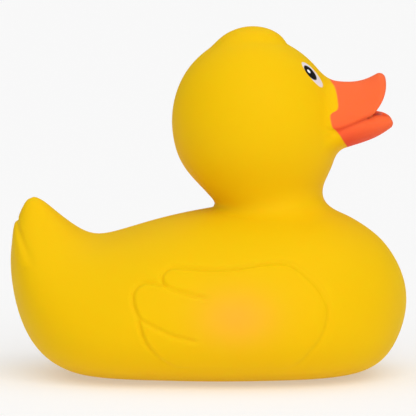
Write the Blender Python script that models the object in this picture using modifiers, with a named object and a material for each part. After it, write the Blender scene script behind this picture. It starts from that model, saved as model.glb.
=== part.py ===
"""Rubber bath duck: one hollow skin of soft vinyl with a flat base and a small vent hole.

The duck faces +X and stands on z = 0, symmetric about the XZ plane. Forms are drawn in
millimetres and turned into metres when a mesh is made. The body and the head are lofts over
ribs, the tuft is an ellipsoid and the two halves of the bill are curved sheets of a given
thickness. Their union is remeshed and drawn onto one smooth blend of all of them.
"""
import math

import bmesh
import bpy
import numpy as np
from mathutils import Matrix
from mathutils.bvhtree import BVHTree

MM = 0.001

# Skin
WALL = 2.4              # thickness of the moulded vinyl
BASE_EDGE = 2.2         # blend where the sides turn into the flat base
VENT_DIAMETER = 3.0     # air hole left by the mould, in the middle of the base
VENT_SIDES = 16
VENT_CUTTER = 7.2       # length of the cutter that opens the vent

# Body ribs from tail tip to breast: upper point (x, z), lower point (x, z), half width.
TAIL_TIP = (-52.9, 53.2)
BREAST = (59.6, 23.0)
BODY_RIBS = [
    ((-46.4, 49.7), (-57.0, 46.9), 7.5),
    ((-40.0, 44.7), (-59.0, 38.5), 15.5),
    ((-33.2, 41.9), (-58.8, 28.0), 23.5),
    ((-25.0, 43.4), (-55.4, 15.0), 30.5),
    ((-16.0, 46.1), (-47.4, 4.5), 36.5),
    ((-6.0, 48.5), (-34.0, -0.6), 41.0),
    ((5.5, 50.5), (-17.5, -2.1), 42.8),
    ((16.5, 51.5), (0.0, -2.6), 44.2),
    ((27.5, 51.1), (17.5, -2.3), 43.8),
    ((38.4, 48.9), (33.3, -1.4), 40.3),
    ((47.8, 43.9), (46.3, 1.3), 32.2),
    ((55.1, 36.5), (55.2, 8.2), 20.0),
]
BODY_LOW = 0.14         # how far the widest level sits below the middle of a rib
BODY_FULL = 0.16        # fullness of the shoulders and of the turn into the base

# Head ribs from crown to neck: rear point (x, z), front point (x, z), half width.
CROWN = (13.2, 101.9)
NECK_END = (18.0, 38.5)
HEAD_RIBS = [
    ((4.4, 100.1), (22.0, 99.9), 10.5),
    ((-3.2, 94.9), (29.6, 95.1), 17.8),
    ((-8.3, 87.7), (35.4, 88.1), 22.6),
    ((-10.7, 78.7), (38.8, 79.8), 24.8),
    ((-10.1, 69.7), (39.0, 72.0), 24.6),
    ((-6.8, 61.9), (37.7, 64.2), 22.0),
    ((-0.8, 55.1), (34.5, 56.7), 18.4),
    ((4.0, 48.9), (32.4, 49.9), 16.4),
    ((8.0, 42.5), (29.0, 42.9), 12.0),
]
NECK_BLEND = (3.0, 8.5)     # blend with the body at the nape and at the throat
NECK_BLEND_X = (2.0, 34.0)  # where those two values are reached

# Tuft on the crown
TUFT_CENTRE = (13.4, 97.3)
TUFT_RADII = (10.5, 10.2, 7.2)
TUFT_BLEND = (3.2, 0.5)     # blend with the head at its rear and at its front
TUFT_BLEND_X = (3.0, 19.0)  # where those two values are reached

# Bill. Each half is a sheet: stations from root to rim, (x, z on the centre line,
# x, z at the side edge, half width, how far it bulges forward between the two).
UPPER_BILL = [
    (33.0, 87.1, 32.0, 72.6, 12.0, 0.0),
    (40.5, 86.1, 38.5, 75.2, 12.2, 0.2),
    (46.0, 86.5, 42.8, 77.1, 12.6, 0.5),
    (49.4, 87.7, 46.4, 78.8, 12.9, 0.9),
    (51.3, 88.7, 48.6, 80.0, 13.1, 1.2),
]
UPPER_THICKNESS = (3.6, 2.0)    # on the centre line and at the side edge
LOWER_BILL = [
    (33.0, 67.5, 33.0, 70.6, 11.2, 0.0),
    (41.0, 69.9, 40.0, 73.4, 11.6, 0.0),
    (47.2, 71.9, 45.5, 76.0, 11.3, 0.2),
    (51.0, 73.7, 49.4, 76.9, 9.6, 0.5),
    (53.6, 75.5, 51.9, 76.7, 7.0, 0.5),
]
LOWER_THICKNESS = (3.4, 3.0)
BILL_BLEND = 3.0            # with the head
MOUTH_BLEND = 0.5           # between the two halves

# Wing: grooves round its feathers and the outline of the raised plate, (x, z)
WING_TOP = [
    (1.9, 27.3), (-3.6, 27.9), (-8.0, 29.1), (-11.5, 30.2), (-13.4, 32.1), (-13.3, 33.8),
    (-11.8, 35.2), (-8.9, 35.7), (-2.2, 35.4), (3.6, 35.4), (9.5, 36.0), (15.3, 36.9),
    (22.0, 37.2), (26.3, 35.6), (29.2, 33.2), (32.2, 30.2), (34.5, 26.1), (35.1, 22.1),
    (34.2, 18.0), (32.5, 14.6), (30.0, 11.6), (26.9, 8.1), (23.4, 6.0),
]
WING_MIDDLE = [
    (-12.6, 30.8), (-16.2, 31.2), (-18.8, 31.3), (-20.9, 30.1), (-22.0, 27.9), (-21.7, 25.0),
    (-20.4, 22.0), (-18.0, 20.0), (-13.8, 18.0), (-10.0, 16.4), (-5.1, 15.2), (-1.6, 14.8),
]
WING_LOW = [(-20.3, 21.5), (-19.7, 18.0), (-18.5, 14.8), (-16.7, 12.2), (-13.8, 9.2), (-9.7, 6.6)]
WING_SLIT_POINTS = 4        # the first points of WING_TOP, which lie inside the plate
WING_REAR_POINTS = 7        # the first points of WING_MIDDLE, which lie on the plate's rim
WING_RAISE = 0.45
WING_RIM = (-0.5, 1.0)      # the plate rises between these distances inside its outline
WING_FADE_Z = (4.0, 11.0)   # the plate runs out into the body towards the base
WING_SIDE_Y = 12.0          # the wings lie outside this
WING_X = (-26.0, 40.0)
WING_TOP_Z = 42.0

# Tail: the short under feather on its rear face, (y, z)
UNDER_FEATHER = [
    (-22.0, 34.0), (-18.8, 36.7), (-15.0, 39.5), (-10.3, 42.6), (-4.6, 45.4), (0.0, 46.4),
    (4.6, 45.4), (10.3, 42.6), (15.0, 39.5), (18.8, 36.7), (22.0, 34.0),
]
UNDER_FEATHER_RAISE = 0.5
UNDER_FEATHER_DEPTH = 0.35
UNDER_FEATHER_FADE = (1.0, 7.0)     # the raised edge falls back over this distance inside it
UNDER_FEATHER_FADE_Y = (15.8, 22.0)
UNDER_FEATHER_X = -44.0             # the feather lies behind this

# Mouth: the crease that runs from between the halves of the bill into the cheek, (x, z)
MOUTH_CREASE = [(34.4, 75.2), (36.2, 74.5), (38.2, 74.2), (40.4, 75.0)]
MOUTH_DEPTH = 0.6
MOUTH_SIDE_Y = 7.0          # the crease shows outside this

# Grooves; a run-out is the share of the length over which the start and the end run out
GROOVE_DEPTH = 0.5
GROOVE_WIDTH = 0.7
WING_TOP_RUN_OUT = (0.03, 0.22)
WING_MIDDLE_RUN_OUT = (0.03, 0.10)
WING_LOW_RUN_OUT = (0.05, 0.6)
MOUTH_RUN_OUT = (0.5, 0.4)
WING_FRONT_WIDTH = 1.3      # the groove is wider round the front of the wing
WING_FRONT_X = (20.0, 32.0)
CURVE_STEP_SAMPLES = 12     # samples to a span of a groove

# Mesh
SKIN_VOXEL = 1.25
SKIN_FACES = 7200
HOLLOW_VOXEL = 2.4
HOLLOW_FACES = 2600
LOFT_STEPS = 12         # steps between two ribs
LOFT_SIDES = 144
SHEET_STEPS = 50
SHEET_SIDES = 60
TUFT_SEGMENTS = 96
TUFT_RINGS = 64
SLAB_SWELL = 1.4        # how much too large a bill sheet starts
SKIN_ROUNDS = 4         # rounds of drawing the points onto the smooth surface
HOLLOW_ROUNDS = 6
LONGEST_MOVE = 1.5      # in one round
LEAST_SLOPE = 0.3       # of the measured distance
SLIDE = 0.5             # share of the way to the middle of a point's neighbours
NEAR_REACH = 6.0        # the distance to a form is worked out up to this far from it
BODY_REACH = 12.0
HOLLOW_REACH = 20.0
BASE_SNAP = 0.03        # points this close to the base lie in it


def periodic_spline(values, per_span):
    """A smooth closed curve through the values, per_span samples to a span."""
    values = np.asarray(values, float)
    if values.ndim == 1:
        values = values[:, None]
    count = len(values)
    system = 4.0 * np.eye(count) + np.roll(np.eye(count), 1, 1) + np.roll(np.eye(count), -1, 1)
    ahead = np.roll(values, -1, 0)
    bend = np.linalg.solve(system, 6.0 * (ahead - 2.0 * values + np.roll(values, 1, 0)))
    bend_ahead = np.roll(bend, -1, 0)
    t = (np.arange(per_span) / per_span)[None, :, None]
    s = 1.0 - t
    curve = (s * values[:, None] + t * ahead[:, None]
             + ((s ** 3 - s) * bend[:, None] + (t ** 3 - t) * bend_ahead[:, None]) / 6.0)
    return curve.reshape(-1, values.shape[1])


def open_spline(values, samples):
    """A smooth open curve through the values."""
    values = np.asarray(values, float)
    count = len(values)
    system = 4.0 * np.eye(count) + np.eye(count, k=1) + np.eye(count, k=-1)
    target = np.zeros_like(values)
    target[1:-1] = 6.0 * (values[2:] - 2.0 * values[1:-1] + values[:-2])
    for end in (0, -1):
        system[end] = 0.0
        system[end, end] = 1.0
    bend = np.linalg.solve(system, target)
    place = np.linspace(0.0, count - 1.0, samples)
    span = np.minimum(place.astype(int), count - 2)
    t = (place - span)[:, None]
    s = 1.0 - t
    return (s * values[span] + t * values[span + 1]
            + ((s ** 3 - s) * bend[span] + (t ** 3 - t) * bend[span + 1]) / 6.0)


def ribbed_mesh(first, ribs, last, low, full):
    """A closed loft: each rib is an oval between its two outline points."""
    points_a = [rib[0] for rib in ribs]
    points_b = [rib[1] for rib in ribs]
    widths = [rib[2] for rib in ribs]
    outline = periodic_spline([first] + points_a + [last] + points_b[::-1], LOFT_STEPS)
    width = periodic_spline([0.0] + widths + [0.0] + [-w for w in widths[::-1]], LOFT_STEPS)[:, 0]
    steps = (len(ribs) + 1) * LOFT_STEPS
    around = LOFT_SIDES
    side_a = outline[1:steps]
    side_b = outline[::-1][:steps - 1]
    middle = (side_a + side_b) / 2.0
    half = (side_a - side_b) / 2.0
    angle = np.arange(around) * 2.0 * math.pi / around
    rise = np.cos(angle)
    reach = np.sin(angle) * (1.0 - low * rise + full * rise ** 2)
    verts = np.empty((steps - 1, around, 3))
    verts[..., 0] = middle[:, None, 0] + half[:, None, 0] * rise
    verts[..., 1] = width[1:steps, None] * reach
    verts[..., 2] = middle[:, None, 1] + half[:, None, 1] * rise
    poles = [(first[0], 0.0, first[1]), (last[0], 0.0, last[1])]
    faces = []
    for i in range(steps - 2):
        for j in range(around):
            k = (j + 1) % around
            faces.append((i * around + j, i * around + k, (i + 1) * around + k, (i + 1) * around + j))
    start = (steps - 1) * around
    for j in range(around):
        k = (j + 1) % around
        faces.append((start, k, j))
        faces.append((start + 1, start - around + j, start - around + k))
    return np.vstack([verts.reshape(-1, 3), poles]), faces


def sheet_mesh(stations):
    """An open arched sheet through the stations, from side edge to side edge."""
    steps, across = SHEET_STEPS, SHEET_SIDES
    line = open_spline(stations, steps)
    angle = np.linspace(-math.pi / 2.0, math.pi / 2.0, across)
    crown = np.cos(angle)
    verts = np.empty((steps, across, 3))
    verts[..., 0] = line[:, None, 2] + (line[:, None, 0] - line[:, None, 2]) * crown
    verts[..., 0] += line[:, None, 5] * 4.0 * crown * (1.0 - crown)
    verts[..., 1] = line[:, None, 4] * np.sin(angle)
    verts[..., 2] = line[:, None, 3] + (line[:, None, 1] - line[:, None, 3]) * crown
    faces = []
    for i in range(steps - 1):
        for j in range(across - 1):
            a = i * across + j
            faces.append((a, a + 1, a + across + 1, a + across))
    return verts.reshape(-1, 3), faces


def oval_mesh(centre, radii):
    """A closed ellipsoid about a centre (x, z)."""
    ball = bmesh.new()
    bmesh.ops.create_uvsphere(ball, u_segments=TUFT_SEGMENTS, v_segments=TUFT_RINGS, radius=1.0)
    place = Matrix.Translation((centre[0], 0.0, centre[1])) @ Matrix.Diagonal((*radii, 1.0))
    bmesh.ops.transform(ball, matrix=place, verts=ball.verts)
    verts = np.array([v.co for v in ball.verts])
    faces = [tuple(v.index for v in f.verts) for f in ball.faces]
    ball.free()
    return verts, faces


def smooth_step(low, high, value):
    t = np.clip((value - low) / (high - low), 0.0, 1.0)
    return t * t * (3.0 - 2.0 * t)


class Form:
    """A form in millimetres that tells how far points lie from its surface.

    A closed form is negative inside. A sheet has a thickness, on its centre line and
    at its side edges, and rounds over at its rim."""

    def __init__(self, verts, faces, thickness=None, half_width=1.0):
        self.verts = verts
        self.faces = faces
        self.thickness = thickness
        self.half_width = half_width
        solid = bmesh.new()
        made = [solid.verts.new(v) for v in verts]
        for face in faces:
            solid.faces.new([made[i] for i in face])
        bmesh.ops.recalc_face_normals(solid, faces=solid.faces)
        solid.normal_update()
        solid.verts.index_update()
        self.faces = [tuple(v.index for v in f.verts) for f in solid.faces]
        self.tree = BVHTree.FromBMesh(solid)
        self.low = verts.min(0)
        self.high = verts.max(0)
        solid.free()

    def measure(self, points, reach):
        """Distance and its direction at each point; points further than reach are left far away."""
        distance = np.full(len(points), 4.0 * reach)
        direction = np.zeros((len(points), 3))
        near = np.all((points > self.low - reach) & (points < self.high + reach), axis=1)
        for i in np.flatnonzero(near):
            place, normal, _, gap = self.tree.find_nearest(points[i].tolist())
            normal = np.array(normal)
            away = points[i] - np.array(place)
            if self.thickness is None:
                side = 1.0 if away @ normal >= 0.0 else -1.0
                distance[i] = side * gap
                direction[i] = side * away / gap if gap > 1e-3 else normal
            else:
                edge = min(abs(place[1]) / self.half_width, 1.0)
                thick = self.thickness[0] + (self.thickness[1] - self.thickness[0]) * edge ** 2
                distance[i] = gap - thick / 2.0
                direction[i] = away / max(gap, 1e-6)
        return distance, direction


def blend(a, b, radius):
    """The smooth union of two measured forms."""
    mix = np.clip(0.5 + 0.5 * (b[0] - a[0]) / radius, 0.0, 1.0)
    distance = b[0] + (a[0] - b[0]) * mix - radius * mix * (1.0 - mix)
    direction = b[1] + (a[1] - b[1]) * mix[:, None]
    return distance, direction


def cut_flat(a, level, radius):
    """The smooth cut of a measured form by the plane z = level, keeping what is above."""
    points, (distance, direction) = a
    plane = level - points[:, 2]
    mix = np.clip(0.5 + 0.5 * (plane - distance) / radius, 0.0, 1.0)
    down = np.array([0.0, 0.0, -1.0])
    return (distance + (plane - distance) * mix + radius * mix * (1.0 - mix),
            direction + (down - direction) * mix[:, None])


class Duck:
    """The forms of the duck and the one smooth surface that they blend into."""

    def __init__(self):
        self.body = Form(*ribbed_mesh(TAIL_TIP, BODY_RIBS, BREAST, BODY_LOW, BODY_FULL))
        self.head = Form(*ribbed_mesh(CROWN, HEAD_RIBS, NECK_END, 0.0, 0.0))
        self.tuft = Form(*oval_mesh(TUFT_CENTRE, TUFT_RADII))
        self.upper = Form(*sheet_mesh(UPPER_BILL), UPPER_THICKNESS, UPPER_BILL[-1][4])
        self.lower = Form(*sheet_mesh(LOWER_BILL), LOWER_THICKNESS, LOWER_BILL[1][4])

    def torso(self, points, reach):
        """The body and the head, blended at the neck."""
        ramp = smooth_step(*NECK_BLEND_X, points[:, 0])
        radius = NECK_BLEND[0] + (NECK_BLEND[1] - NECK_BLEND[0]) * ramp
        return blend(self.body.measure(points, reach), self.head.measure(points, reach), radius)

    def skin(self, points):
        """Distance to the outside of the skin."""
        whole = self.torso(points, BODY_REACH)
        ramp = smooth_step(*TUFT_BLEND_X, points[:, 0])
        radius = TUFT_BLEND[0] + (TUFT_BLEND[1] - TUFT_BLEND[0]) * ramp
        whole = blend(whole, self.tuft.measure(points, NEAR_REACH), radius)
        upper = self.upper.measure(points, NEAR_REACH)
        lower = self.lower.measure(points, NEAR_REACH)
        whole = blend(whole, blend(upper, lower, MOUTH_BLEND), BILL_BLEND)
        return cut_flat((points, whole), 0.0, BASE_EDGE)

    def hollow(self, points):
        """Distance to the inside of the skin, one wall below the body and the head."""
        distance, direction = self.torso(points, HOLLOW_REACH)
        return cut_flat((points, (distance + WALL, direction)), WALL, BASE_EDGE)


def nearest_on_curve(points, curve):
    """Distance from each flat point to a sampled curve, and how far along it that is, 0 to 1."""
    distance = np.full(len(points), np.inf)
    along = np.zeros(len(points))
    for i in range(len(curve) - 1):
        run = curve[i + 1] - curve[i]
        t = np.clip((points - curve[i]) @ run / max(run @ run, 1e-12), 0.0, 1.0)
        gap = np.linalg.norm(points - curve[i] - t[:, None] * run, axis=1)
        closer = gap < distance
        distance[closer] = gap[closer]
        along[closer] = (i + t[closer]) / (len(curve) - 1)
    return distance, along


def inside_outline(points, outline):
    """Whether each flat point lies inside a closed outline."""
    inside = np.zeros(len(points), bool)
    for a, b in zip(outline, np.roll(outline, -1, 0)):
        crosses = (a[1] > points[:, 1]) != (b[1] > points[:, 1])
        at = a[0] + (points[:, 1] - a[1]) * (b[0] - a[0]) / (b[1] - a[1] if b[1] != a[1] else 1.0)
        inside ^= crosses & (points[:, 0] < at)
    return inside


def sampled(points):
    return open_spline(points, (len(points) - 1) * CURVE_STEP_SAMPLES + 1)


def groove(flat, points, depth, width, run_out):
    """Depth of a groove along a curve, with a round bottom and soft edges."""
    distance, along = nearest_on_curve(flat, sampled(points))
    ends = smooth_step(0.0, run_out[0], along) * smooth_step(0.0, run_out[1], 1.0 - along)
    return depth * ends * np.exp(-(distance / width) ** 2)


def wing_relief(points):
    """Height of the wings over the plain body."""
    flat = points[:, [0, 2]]
    height = np.zeros(len(points))
    on = (np.abs(points[:, 1]) > WING_SIDE_Y) & (points[:, 2] < WING_TOP_Z)
    on &= (points[:, 0] > WING_X[0]) & (points[:, 0] < WING_X[1])
    flat = flat[on]
    top = sampled(WING_TOP[WING_SLIT_POINTS:])
    rear = sampled(WING_MIDDLE[:WING_REAR_POINTS])
    low = sampled(WING_LOW)
    outline = np.vstack([top, low[::-1], rear[::-1]])
    edge = np.minimum(nearest_on_curve(flat, top)[0],
                      np.minimum(nearest_on_curve(flat, rear)[0], nearest_on_curve(flat, low)[0]))
    edge = np.where(inside_outline(flat, outline), edge, -edge)
    plate = WING_RAISE * smooth_step(*WING_RIM, edge) * smooth_step(*WING_FADE_Z, flat[:, 1])
    front = smooth_step(*WING_FRONT_X, flat[:, 0])
    width = GROOVE_WIDTH + (WING_FRONT_WIDTH - GROOVE_WIDTH) * front
    cut = groove(flat, WING_TOP, GROOVE_DEPTH, width, WING_TOP_RUN_OUT)
    cut = np.maximum(cut, groove(flat, WING_MIDDLE, GROOVE_DEPTH, GROOVE_WIDTH, WING_MIDDLE_RUN_OUT))
    cut = np.maximum(cut, groove(flat, WING_LOW, GROOVE_DEPTH, GROOVE_WIDTH, WING_LOW_RUN_OUT))
    height[on] = plate - cut
    return height


def under_feather_relief(points):
    """Height of the under feather on the rear face of the tail."""
    height = np.zeros(len(points))
    on = points[:, 0] < UNDER_FEATHER_X
    flat = points[on][:, [1, 2]]
    curve = sampled(UNDER_FEATHER)
    distance, _ = nearest_on_curve(flat, curve)
    inside = inside_outline(flat, curve)
    fade = 1.0 - smooth_step(*UNDER_FEATHER_FADE_Y, np.abs(flat[:, 0]))
    edge = np.where(inside, distance, -distance)
    pad = smooth_step(*WING_RIM, edge) * (1.0 - smooth_step(*UNDER_FEATHER_FADE, edge))
    cut = UNDER_FEATHER_DEPTH * np.exp(-(distance / GROOVE_WIDTH) ** 2)
    height[on] = fade * (UNDER_FEATHER_RAISE * pad - cut)
    return height


def mouth_relief(points):
    """The crease that the mouth leaves in both cheeks."""
    height = np.zeros(len(points))
    on = np.abs(points[:, 1]) > MOUTH_SIDE_Y
    height[on] = -groove(points[on][:, [0, 2]], MOUTH_CREASE, MOUTH_DEPTH, GROOVE_WIDTH, MOUTH_RUN_OUT)
    return height


def relief(points):
    return wing_relief(points) + under_feather_relief(points) + mouth_relief(points)


def add_object(name, verts, faces, collection):
    """A mesh object from points in millimetres."""
    mesh = bpy.data.meshes.new(name)
    mesh.from_pydata((np.asarray(verts) * MM).tolist(), [], faces)
    obj = bpy.data.objects.new(name, mesh)
    collection.objects.link(obj)
    return obj


def apply_modifiers(obj):
    """Replace the object's mesh with its evaluated one."""
    bpy.context.view_layer.update()
    evaluated = obj.evaluated_get(bpy.context.evaluated_depsgraph_get())
    mesh = bpy.data.meshes.new_from_object(evaluated)
    obj.modifiers.clear()
    old = obj.data
    obj.data = mesh
    bpy.data.meshes.remove(old)


def points_of(obj):
    flat = np.empty(len(obj.data.vertices) * 3)
    obj.data.vertices.foreach_get("co", flat)
    return flat.reshape(-1, 3) / MM


def set_points(obj, points):
    obj.data.vertices.foreach_set("co", (points * MM).ravel())
    obj.data.update()


def joined(forms):
    """The points and faces of several forms as one list."""
    verts = np.vstack([form[0] for form in forms])
    faces = []
    offset = 0
    for points, polygons in forms:
        faces += [tuple(i + offset for i in polygon) for polygon in polygons]
        offset += len(points)
    return verts, faces


def thickened(sheet):
    """A closed slab all round an open sheet, a little too large, as a start for the remesh."""
    slab = add_object("slab", sheet.verts, sheet.faces, bpy.context.scene.collection)
    solidify = slab.modifiers.new("thickness", "SOLIDIFY")
    solidify.thickness = sheet.thickness[1] * MM
    solidify.offset = 0.0
    swell = slab.modifiers.new("swell", "DISPLACE")
    swell.mid_level = 0.0
    swell.strength = SLAB_SWELL * MM
    apply_modifiers(slab)
    verts = points_of(slab)
    faces = [tuple(p.vertices) for p in slab.data.polygons]
    bpy.data.objects.remove(slab)
    return verts, faces


def neighbour_mean(obj, points):
    """The mean of each point's neighbours."""
    edges = np.empty(len(obj.data.edges) * 2, np.int32)
    obj.data.edges.foreach_get("vertices", edges)
    edges = edges.reshape(-1, 2)
    total = np.zeros_like(points)
    count = np.zeros(len(points))
    for a, b in ((0, 1), (1, 0)):
        np.add.at(total, edges[:, a], points[edges[:, b]])
        np.add.at(count, edges[:, a], 1.0)
    return total / count[:, None]


def settle(obj, surface, rounds):
    """Draw the points onto a surface, evening out their spacing on the way."""
    points = points_of(obj)
    for i in range(rounds):
        distance, direction = surface(points)
        length = np.maximum(np.linalg.norm(direction, axis=1), LEAST_SLOPE)
        normal = direction / length[:, None]
        points = points - np.clip(distance / length, -LONGEST_MOVE, LONGEST_MOVE)[:, None] * normal
        if i < rounds - 1:
            slide = neighbour_mean(obj, points) - points
            points += SLIDE * (slide - np.sum(slide * normal, axis=1)[:, None] * normal)
    set_points(obj, points)
    return points, normal


def remeshed(name, forms, voxel, collection):
    obj = add_object(name, *joined(forms), collection)
    remesh = obj.modifiers.new("one_skin", "REMESH")
    remesh.mode = "VOXEL"
    remesh.voxel_size = voxel * MM
    apply_modifiers(obj)
    return obj


def thin_out(obj, triangles):
    """Reduce the mesh to about this many triangles, most of them where it bends."""
    decimate = obj.modifiers.new("thin_out", "DECIMATE")
    decimate.ratio = triangles / (2.0 * len(obj.data.polygons))
    apply_modifiers(obj)


def flatten_base(points, level):
    points[np.abs(points[:, 2] - level) < BASE_SNAP, 2] = level
    return points


def make_skin(duck, collection):
    parts = [(f.verts, f.faces) for f in (duck.body, duck.head, duck.tuft)]
    parts += [thickened(duck.upper), thickened(duck.lower)]
    skin = remeshed("duck_body", parts, SKIN_VOXEL, collection)
    points, normal = settle(skin, duck.skin, SKIN_ROUNDS)
    points += relief(points)[:, None] * normal
    set_points(skin, flatten_base(points, 0.0))
    thin_out(skin, SKIN_FACES)
    return skin


def make_hollow(duck, collection):
    parts = [(f.verts, f.faces) for f in (duck.body, duck.head)]
    hollow = remeshed("hollow", parts, HOLLOW_VOXEL, collection)
    points, _ = settle(hollow, duck.hollow, HOLLOW_ROUNDS)
    set_points(hollow, flatten_base(points, WALL))
    thin_out(hollow, HOLLOW_FACES)
    return hollow


def cut_with(target, cutter, name):
    cut = target.modifiers.new(name, "BOOLEAN")
    cut.operation = "DIFFERENCE"
    cut.solver = "EXACT"
    cut.object = cutter
    cutter.hide_render = True
    cutter.display_type = "WIRE"


def vinyl(name, colour, roughness):
    material = bpy.data.materials.new(name)
    material.use_nodes = True
    shader = material.node_tree.nodes["Principled BSDF"]
    shader.inputs["Base Color"].default_value = (*colour, 1.0)
    shader.inputs["Roughness"].default_value = roughness
    shader.inputs["Metallic"].default_value = 0.0
    return material


def main():
    for obj in list(bpy.data.objects):
        bpy.data.objects.remove(obj, do_unlink=True)
    parts = bpy.data.collections.new("rubber_duck")
    cutters = bpy.data.collections.new("cutters")
    for collection in (parts, cutters):
        bpy.context.scene.collection.children.link(collection)

    duck = Duck()
    skin = make_skin(duck, parts)
    hollow = make_hollow(duck, cutters)
    bpy.ops.mesh.primitive_cylinder_add(vertices=VENT_SIDES, radius=VENT_DIAMETER * MM / 2.0,
                                        depth=VENT_CUTTER * MM, location=(0.0, 0.0, 0.0))
    vent = bpy.context.active_object
    vent.name = "vent"
    for holder in list(vent.users_collection):
        holder.objects.unlink(vent)
    cutters.objects.link(vent)
    cut_with(skin, hollow, "hollow")
    cut_with(skin, vent, "vent")
    skin.data.materials.append(vinyl("yellow_vinyl", (0.85, 0.56, 0.02), 0.5))
    skin.data.shade_smooth()


main()
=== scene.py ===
"""Rubber bath duck, finished: the soft vinyl skin with its painted bill, printed eyes and wing blush."""
import math

import bmesh
import bpy
import numpy as np
from mathutils import Matrix, Vector
from mathutils.bvhtree import BVHTree


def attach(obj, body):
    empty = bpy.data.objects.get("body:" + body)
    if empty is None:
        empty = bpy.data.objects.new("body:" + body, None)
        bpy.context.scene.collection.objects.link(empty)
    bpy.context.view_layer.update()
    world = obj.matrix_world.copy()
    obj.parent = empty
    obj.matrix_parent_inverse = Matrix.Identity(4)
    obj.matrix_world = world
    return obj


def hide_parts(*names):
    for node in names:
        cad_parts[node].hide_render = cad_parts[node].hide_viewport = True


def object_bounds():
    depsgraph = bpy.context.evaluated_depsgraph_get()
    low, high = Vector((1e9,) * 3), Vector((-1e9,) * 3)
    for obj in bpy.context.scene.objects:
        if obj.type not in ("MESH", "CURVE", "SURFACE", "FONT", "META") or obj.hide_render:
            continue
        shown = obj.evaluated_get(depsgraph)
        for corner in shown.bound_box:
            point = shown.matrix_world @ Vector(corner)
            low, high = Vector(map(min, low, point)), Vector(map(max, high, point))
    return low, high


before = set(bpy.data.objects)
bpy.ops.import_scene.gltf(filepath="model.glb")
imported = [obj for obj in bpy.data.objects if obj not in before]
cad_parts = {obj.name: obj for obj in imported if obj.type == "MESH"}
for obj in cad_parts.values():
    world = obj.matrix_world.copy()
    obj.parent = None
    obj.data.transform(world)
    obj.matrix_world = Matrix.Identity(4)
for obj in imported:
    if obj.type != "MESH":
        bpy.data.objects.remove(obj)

cad_box = [list(corner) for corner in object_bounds()]

MM = 0.001

# Skin
WALL = 2.4              # thickness of the moulded vinyl
BASE_EDGE = 2.2         # blend where the sides turn into the flat base
VENT_DIAMETER = 3.0     # air hole left by the mould, in the middle of the base
VENT_SIDES = 16
VENT_CUTTER = 7.2       # length of the cutter that opens the vent

# Body ribs from tail tip to breast: upper point (x, z), lower point (x, z), half width.
TAIL_TIP = (-52.9, 53.2)
BREAST = (59.6, 23.0)
BODY_RIBS = [
    ((-46.4, 49.7), (-57.0, 46.9), 7.5),
    ((-40.0, 44.7), (-59.0, 38.5), 15.5),
    ((-33.2, 41.9), (-58.8, 28.0), 23.5),
    ((-25.0, 43.4), (-55.4, 15.0), 30.5),
    ((-16.0, 46.1), (-47.4, 4.5), 36.5),
    ((-6.0, 48.5), (-34.0, -0.6), 41.0),
    ((5.5, 50.5), (-17.5, -2.1), 42.8),
    ((16.5, 51.5), (0.0, -2.6), 44.2),
    ((27.5, 51.1), (17.5, -2.3), 43.8),
    ((38.4, 48.9), (33.3, -1.4), 40.3),
    ((47.8, 43.9), (46.3, 1.3), 32.2),
    ((55.1, 36.5), (55.2, 8.2), 20.0),
]
BODY_LOW = 0.14         # how far the widest level sits below the middle of a rib
BODY_FULL = 0.16        # fullness of the shoulders and of the turn into the base

# Head ribs from crown to neck: rear point (x, z), front point (x, z), half width.
CROWN = (13.2, 101.9)
NECK_END = (18.0, 38.5)
HEAD_RIBS = [
    ((4.4, 100.1), (22.0, 99.9), 10.5),
    ((-3.2, 94.9), (29.6, 95.1), 17.8),
    ((-8.3, 87.7), (35.4, 88.1), 22.6),
    ((-10.7, 78.7), (38.8, 79.8), 24.8),
    ((-10.1, 69.7), (39.0, 72.0), 24.6),
    ((-6.8, 61.9), (37.7, 64.2), 22.0),
    ((-0.8, 55.1), (34.5, 56.7), 18.4),
    ((4.0, 48.9), (32.4, 49.9), 16.4),
    ((8.0, 42.5), (29.0, 42.9), 12.0),
]
NECK_BLEND = (3.0, 8.5)     # blend with the body at the nape and at the throat
NECK_BLEND_X = (2.0, 34.0)  # where those two values are reached

# Tuft on the crown
TUFT_CENTRE = (13.4, 97.3)
TUFT_RADII = (10.5, 10.2, 7.2)
TUFT_BLEND = (3.2, 0.5)     # blend with the head at its rear and at its front
TUFT_BLEND_X = (3.0, 19.0)  # where those two values are reached

# Bill. Each half is a sheet: stations from root to rim, (x, z on the centre line,
# x, z at the side edge, half width, how far it bulges forward between the two).
UPPER_BILL = [
    (33.0, 87.1, 32.0, 72.6, 12.0, 0.0),
    (40.5, 86.1, 38.5, 75.2, 12.2, 0.2),
    (46.0, 86.5, 42.8, 77.1, 12.6, 0.5),
    (49.4, 87.7, 46.4, 78.8, 12.9, 0.9),
    (51.3, 88.7, 48.6, 80.0, 13.1, 1.2),
]
UPPER_THICKNESS = (3.6, 2.0)    # on the centre line and at the side edge
LOWER_BILL = [
    (33.0, 67.5, 33.0, 70.6, 11.2, 0.0),
    (41.0, 69.9, 40.0, 73.4, 11.6, 0.0),
    (47.2, 71.9, 45.5, 76.0, 11.3, 0.2),
    (51.0, 73.7, 49.4, 76.9, 9.6, 0.5),
    (53.6, 75.5, 51.9, 76.7, 7.0, 0.5),
]
LOWER_THICKNESS = (3.4, 3.0)
BILL_BLEND = 3.0            # with the head
MOUTH_BLEND = 0.5           # between the two halves

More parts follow.
